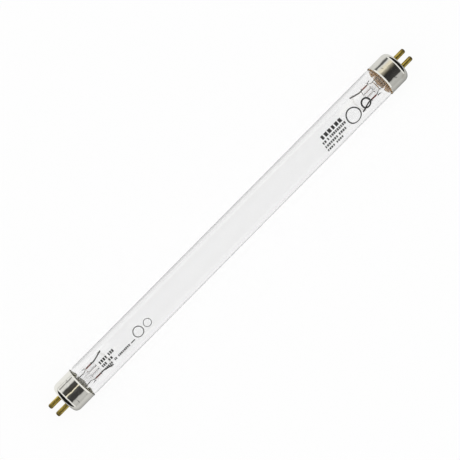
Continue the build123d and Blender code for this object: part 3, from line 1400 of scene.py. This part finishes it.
@dataclass
class TubeMarks:
    """Rows of plain blocks and plain rings, printed on the tube."""

    thickness: float = 0.012
    sunk: float = 0.002
    wide: float = 0.74
    narrow: float = 0.58
    narrow_every: int = 3
    block_pieces: int = 6
    ring_steps: int = 64
    fields: tuple[PrintField, ...] = (
        PrintField(
            "marks_left",
            (
                PrintRow(-83.4, 0.47, 1.4, 1.1, ((0.0, 4.8), (5.5, 8.8))),
                PrintRow(-83.4, -1.46, 1.25, 1.0, ((0.0, 2.8), (4.0, 6.4))),
                PrintRow(-83.2, -3.25, 1.1, 0.95, ((0.0, 4.6), (5.8, 7.3), (8.1, 15.3))),
            ),
            (PrintRing(-61.3, -1.9, 2.65, 0.42), PrintRing(-55.7, -1.9, 2.0, 0.3)),
            (PrintBlock(-66.0, -3.3, 2.4, 0.5),),
        ),
        PrintField(
            "marks_right",
            (
                PrintRow(56.1, 0.63, 1.9, 2.1, ((0.0, 13.1),)),
                PrintRow(55.1, -1.60, 1.2, 1.1, ((0.0, 2.3), (2.9, 4.0), (4.6, 14.5))),
                PrintRow(54.9, -3.72, 1.2, 1.1, ((0.0, 8.0), (8.6, 13.3))),
                PrintRow(54.9, -5.85, 1.2, 1.1, ((0.0, 4.6), (5.5, 10.0))),
            ),
            (PrintRing(74.3, -2.4, 3.9, 0.6), PrintRing(82.2, -2.3, 2.6, 0.8)),
        ),
    )

    def build(self) -> None:
        """Print both ends of the tube."""
        for field in self.fields:
            mesh = bmesh.new()
            for row in field.rows:
                self.lay_row(mesh, row)
            for ring in field.rings:
                self.lay_ring(mesh, ring)
            for block in field.blocks:
                self.lay_block(mesh, block)
            self.wrap(mesh)
            finished(field.name, mesh, Matrix.Identity(4), INK)

    def lay_row(self, mesh: BMesh, row: PrintRow) -> None:
        """Lay one row's blocks flat.

        Args:
            mesh: where they go.
            row: the row.
        """
        for begin, stop in row.groups:
            count = max(1, round((stop - begin) / row.pitch))
            pitch = (stop - begin) / count
            for index in range(count):
                width = pitch * (self.wide if index % self.narrow_every else self.narrow)
                x = row.start + begin + pitch * (index + 0.5)
                self.lay_block(mesh, PrintBlock(x, row.across, width, row.height))

    def lay_block(self, mesh: BMesh, block: PrintBlock) -> None:
        """Lay one block flat: x along the tube and y the way round it.

        Args:
            mesh: where it goes.
            block: the block.
        """
        size = Matrix.Diagonal((block.width / 2, block.height / 2, 1.0, 1.0))
        place = Matrix.Translation((block.x, block.across, 0.0)) @ size
        bmesh.ops.create_grid(mesh, x_segments=1, y_segments=self.block_pieces, size=1.0, matrix=place)

    def lay_ring(self, mesh: BMesh, ring: PrintRing) -> None:
        """Lay one ring flat.

        Args:
            mesh: where it goes.
            ring: the ring.
        """
        inner = mesh.verts.new((ring.x + ring.radius - ring.stroke, ring.across, 0.0))
        outer = mesh.verts.new((ring.x + ring.radius, ring.across, 0.0))
        edge = mesh.edges.new((inner, outer))
        bmesh.ops.spin(
            mesh,
            geom=[inner, outer, edge],
            cent=(ring.x, ring.across, 0.0),
            axis=(0.0, 0.0, 1.0),
            angle=2 * pi,
            steps=self.ring_steps,
            use_merge=True,
        )

    def wrap(self, mesh: BMesh) -> None:
        """Wrap the flat print round the tube and give it the ink's thickness.

        Args:
            mesh: the flat print.
        """
        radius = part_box("glass_tube")[1].z / MM - self.sunk
        for vert in mesh.verts:
            angle = vert.co.y / radius
            vert.co = (vert.co.x, radius * sin(angle), radius * cos(angle))
        mesh.normal_update()
        down = [face for face in mesh.faces if face.normal.z < 0]
        bmesh.ops.reverse_faces(mesh, faces=down)
        bmesh.ops.solidify(mesh, geom=mesh.faces[:], thickness=-self.thickness)
        bmesh.ops.recalc_face_normals(mesh, faces=mesh.faces[:])


@dataclass(frozen=True)
class Profile:
    """Brightness along a value that runs equally far to both sides of nought.

    Each stop is a place, counted in units, and a level, and the last place is the end of the range.
    Stops between nought and warm_to are tinted.
    """

    stops: tuple[Range, ...]
    unit: float = 1.0
    warm: Colour = WHITE
    warm_to: float = 0.0

    def level(self, sketch: NodeSketch, value: NodeSocket) -> NodeSocket:
        """Brightness at a value.

        Args:
            sketch: where the nodes go.
            value: the value's socket.

        Returns:
            The socket of the brightness, as a colour.
        """
        last = self.stops[-1][0]
        marks = []
        for place, brightness in self.stops:
            tint = self.warm if 0.0 < place < self.warm_to else WHITE
            marks.append((place / last / 2 + 0.5, tuple(brightness * part for part in tint)))
        share = sketch.math("ADD", sketch.math("DIVIDE", value, 2 * last * self.unit), 0.5)
        return sketch.ramp(share, marks)


@dataclass
class Studio:
    """White floor and a soft white room with a dark ceiling that only shiny surfaces mirror."""

    light_bounces: int = 32
    floor_half: float = 3000.0
    floor_colour: Colour = (0.92, 0.92, 0.92)
    floor_glow: float = 0.88
    # painted shadow: mirrored rays see the floor darker near the lamp on the -y side and never fully
    # white, set by place along y
    mirrored_floor: Profile = Profile(
        (
            (-200.0, 0.55),
            (-90.0, 0.62),
            (-35.0, 0.60),
            (-18.0, 0.44),
            (-9.0, 0.24),
            (9.0, 0.92),
            (45.0, 0.92),
            (90.0, 0.90),
            (200.0, 0.60),
        ),
        MM,
    )
    # painted shade: mirrored rays see the floor nearly black between the lamp's ends, and a little darker
    # beyond the right end than beyond the left
    mirrored_share: Profile = Profile(
        ((-130.0, 1.0), (-97.0, 1.0), (-94.0, 0.04), (94.0, 0.04), (97.0, 0.80), (130.0, 0.80)), MM
    )
    # painted shadow: rays through the glass see darker strips of floor beside and under the lamp
    floor_behind_glass: Profile = Profile(
        (
            (-40.0, 1.0),
            (-9.5, 1.0),
            (-8.8, 0.90),
            (-6.6, 0.90),
            (-5.8, 1.0),
            (5.8, 1.0),
            (6.6, 0.90),
            (8.6, 0.90),
            (10.5, 0.84),
            (17.0, 0.80),
            (22.0, 1.0),
            (40.0, 1.0),
        ),
        MM,
    )
    left_room: Profile = Profile(
        (
            (-180.0, 0.45),
            (-95.0, 0.50),
            (-65.0, 0.60),
            (-52.0, 0.57),
            (-45.0, 0.05),
            (-14.0, 0.05),
            (-5.0, 0.10),
            (0.5, 0.12),
            (2.0, 1.0),
            (8.0, 1.0),
            (10.0, 0.06),
            (40.0, 0.07),
            (52.0, 0.82),
            (68.0, 0.82),
            (72.5, 0.28),
            (77.5, 0.28),
            (82.0, 0.88),
            (180.0, 0.88),
        ),
        DEGREE,
        warm=(1.0, 0.94, 0.76),
        warm_to=12.0,
    )
    right_room: Profile = Profile(
        (
            (-180.0, 0.42),
            (-95.0, 0.46),
            (-66.0, 0.53),
            (-54.0, 0.51),
            (-46.0, 0.05),
            (0.0, 0.03),
            (8.0, 0.05),
            (16.0, 0.16),
            (28.0, 0.43),
            (38.0, 0.90),
            (46.0, 0.85),
            (68.0, 0.80),
            (75.5, 0.12),
            (86.0, 0.12),
            (94.0, 0.60),
            (180.0, 0.60),
        ),
        DEGREE,
        warm=(1.0, 0.93, 0.76),
        warm_to=47.0,
    )
    middle_room: Colour = (0.08, 0.08, 0.08)
    left_share: Range = (-0.124, -0.114)
    right_share: Range = (0.216, 0.226)
    clear_share: Range = (0.27, 0.33)
    side_lights: Profile = Profile(
        ((-1.0, 0.012), (-0.5, 0.012), (-0.45, 0.95), (0.54, 0.95), (0.59, 0.012), (1.0, 0.012))
    )
    side_share: Profile = Profile(
        ((-1.0, 1.0), (-0.27, 1.0), (-0.25, 0.0), (0.35, 0.0), (0.37, 1.0), (1.0, 1.0))
    )

    def build(self) -> None:
        """Lay the floor and dress the world."""
        scene = bpy.context.scene
        scene.view_settings.view_transform = "Standard"
        scene.cycles.max_bounces = self.light_bounces
        scene.cycles.transmission_bounces = self.light_bounces
        scene.cycles.blur_glossy = 0.0
        self.lay_floor()
        self.dress_world()

    def lay_floor(self) -> None:
        """Lay the floor under the caps' rims."""
        height = CAD_BOX[0].z
        mesh = bmesh.new()
        place = Matrix.Translation((0.0, 0.0, height)) @ Matrix.Scale(self.floor_half * MM, 4)
        bmesh.ops.create_grid(mesh, x_segments=1, y_segments=1, size=1.0, matrix=place)
        data = bpy.data.meshes.new("floor")
        mesh.to_mesh(data)
        mesh.free()
        floor = bpy.data.objects.new("floor", data)
        bpy.context.scene.collection.objects.link(floor)
        data.materials.append(self.floor_material())
        log.info("floor laid at %.2f mm", height / MM)

    def floor_material(self) -> Material:
        """White floor to the camera that keeps a soft shadow; mirrored rays see painted shade on it,
        darker near the lamp, and rays through the glass see painted shadow strips beside and under the
        lamp.

        Returns:
            The material.
        """
        material = bpy.data.materials.new("floor")
        material.use_nodes = True
        material.node_tree.nodes.clear()
        sketch = NodeSketch(material.node_tree)
        path = sketch.add("ShaderNodeLightPath", {}).outputs
        seen = sketch.math("MAXIMUM", path["Is Camera Ray"], path["Is Glossy Ray"])
        seen = sketch.math("MAXIMUM", seen, path["Is Transmission Ray"])
        # painted shade and painted shadow on the floor, by place, for mirrored rays and for rays through
        # the glass
        mirrored = self.mirrored_floor.level(sketch, sketch.axis("Y"))
        ends = self.mirrored_share.level(sketch, sketch.axis("X"))
        mirrored = sketch.blend(1.0, mirrored, ends, "MULTIPLY")
        level = sketch.blend(path["Is Glossy Ray"], WHITE, mirrored)
        behind = self.floor_behind_glass.level(sketch, sketch.axis("Y"))
        level = sketch.blend(path["Is Transmission Ray"], level, behind)
        matt = sketch.add("ShaderNodeBsdfDiffuse", {"Color": (*self.floor_colour, 1.0)})
        glow = sketch.add("ShaderNodeEmission", {"Color": level, "Strength": 1.0})
        mix = sketch.add("ShaderNodeMixShader", {"Fac": sketch.math("MULTIPLY", seen, self.floor_glow)})
        sketch.feed(mix.inputs[1], matt.outputs[0])
        sketch.feed(mix.inputs[2], glow.outputs[0])
        sketch.add("ShaderNodeOutputMaterial", {"Surface": mix.outputs[0]})
        return material

    def dress_world(self) -> None:
        """Even white light, and a room of pale walls and a dark ceiling for mirrored rays."""
        world = bpy.data.worlds.new("studio")
        bpy.context.scene.world = world
        world.use_nodes = True
        world.node_tree.nodes.clear()
        sketch = NodeSketch(world.node_tree)
        ray = sketch.add("ShaderNodeTexCoord", {}).outputs["Generated"]
        axes = sketch.add("ShaderNodeSeparateXYZ", {"Vector": ray}).outputs
        path = sketch.add("ShaderNodeLightPath", {}).outputs
        shiny = sketch.math("MAXIMUM", path["Is Glossy Ray"], path["Is Transmission Ray"])
        shiny = sketch.math("MULTIPLY", shiny, sketch.math("LESS_THAN", path["Diffuse Depth"], 0.5))
        sideways = sketch.spread(sketch.math("ABSOLUTE", axes["X"]), self.clear_share, FULL)
        clear = sketch.math("MULTIPLY", path["Is Transmission Ray"], sideways)
        shiny = sketch.math("MULTIPLY", shiny, sketch.math("SUBTRACT", 1.0, clear))
        seen = sketch.blend(shiny, WHITE, self.room(sketch, axes["X"], axes["Y"], axes["Z"]))
        background = sketch.add("ShaderNodeBackground", {"Color": seen, "Strength": 1.0})
        sketch.add("ShaderNodeOutputWorld", {"Surface": background.outputs[0]})

    def room(self, sketch: NodeSketch, x: NodeSocket, y: NodeSocket, z: NodeSocket) -> NodeSocket:
        """Join the room's two halves and its side lights by the way that a ray goes.

        Args:
            sketch: where the nodes go.
            x: the ray's part along the lamp.
            y: its part across the lamp.
            z: its part upwards.

        Returns:
            The room's colour.
        """
        lean = sketch.math("ARCTAN2", y, z)
        left = self.left_room.level(sketch, lean)
        right = self.right_room.level(sketch, lean)
        room = sketch.blend(sketch.spread(x, self.left_share, FULL), left, self.middle_room)
        room = sketch.blend(sketch.spread(x, self.right_share, FULL), room, right)
        return sketch.blend(self.side_share.level(sketch, x), room, self.side_lights.level(sketch, x))


@dataclass
class PhotoCamera:
    """Camera above the lamp, turned so that the lamp runs from the lower left to the upper right."""

    place: tuple[float, float, float] = (-28.86, 0.95, 520.0)
    aim: tuple[float, float, float] = (-0.685, 0.95, 0.0)
    lamp_turn: float = 45.28
    view_angle: float = 22.44
    nearest: float = 10.0

    def build(self) -> Object:
        """Make the camera and set it as the scene's.

        Returns:
            The camera.
        """
        back = (Vector(self.place) - Vector(self.aim)).normalized()
        along = Vector((1.0, 0.0, 0.0))
        along = (along - back * along.dot(back)).normalized()
        across = back.cross(along)
        turn = radians(self.lamp_turn)
        right = along * cos(turn) - across * sin(turn)
        up = along * sin(turn) + across * cos(turn)
        data = bpy.data.cameras.new("camera")
        data.sensor_fit = "HORIZONTAL"
        data.angle = radians(self.view_angle)
        data.clip_start = self.nearest * MM
        camera = bpy.data.objects.new("camera", data)
        bpy.context.scene.collection.objects.link(camera)
        turned = Matrix((right, up, back)).transposed().to_4x4()
        camera.matrix_world = Matrix.Translation(Vector(self.place) * MM) @ turned
        bpy.context.scene.camera = camera
        return camera


def main() -> None:
    """Build the camera, the studio and the lamp's sub-assemblies in order."""
    logging.basicConfig(level=logging.INFO, format="%(name)s %(message)s")
    PhotoCamera().build()
    Studio().build()
    GlassTube().build()
    for end in End:
        Cap(end).build()
        Stem(end).build()
        Electrode(end).build()
    dress_node("mercury_drop", MERCURY)
    TubeMarks().build()


if __name__ == "__main__":
    main()
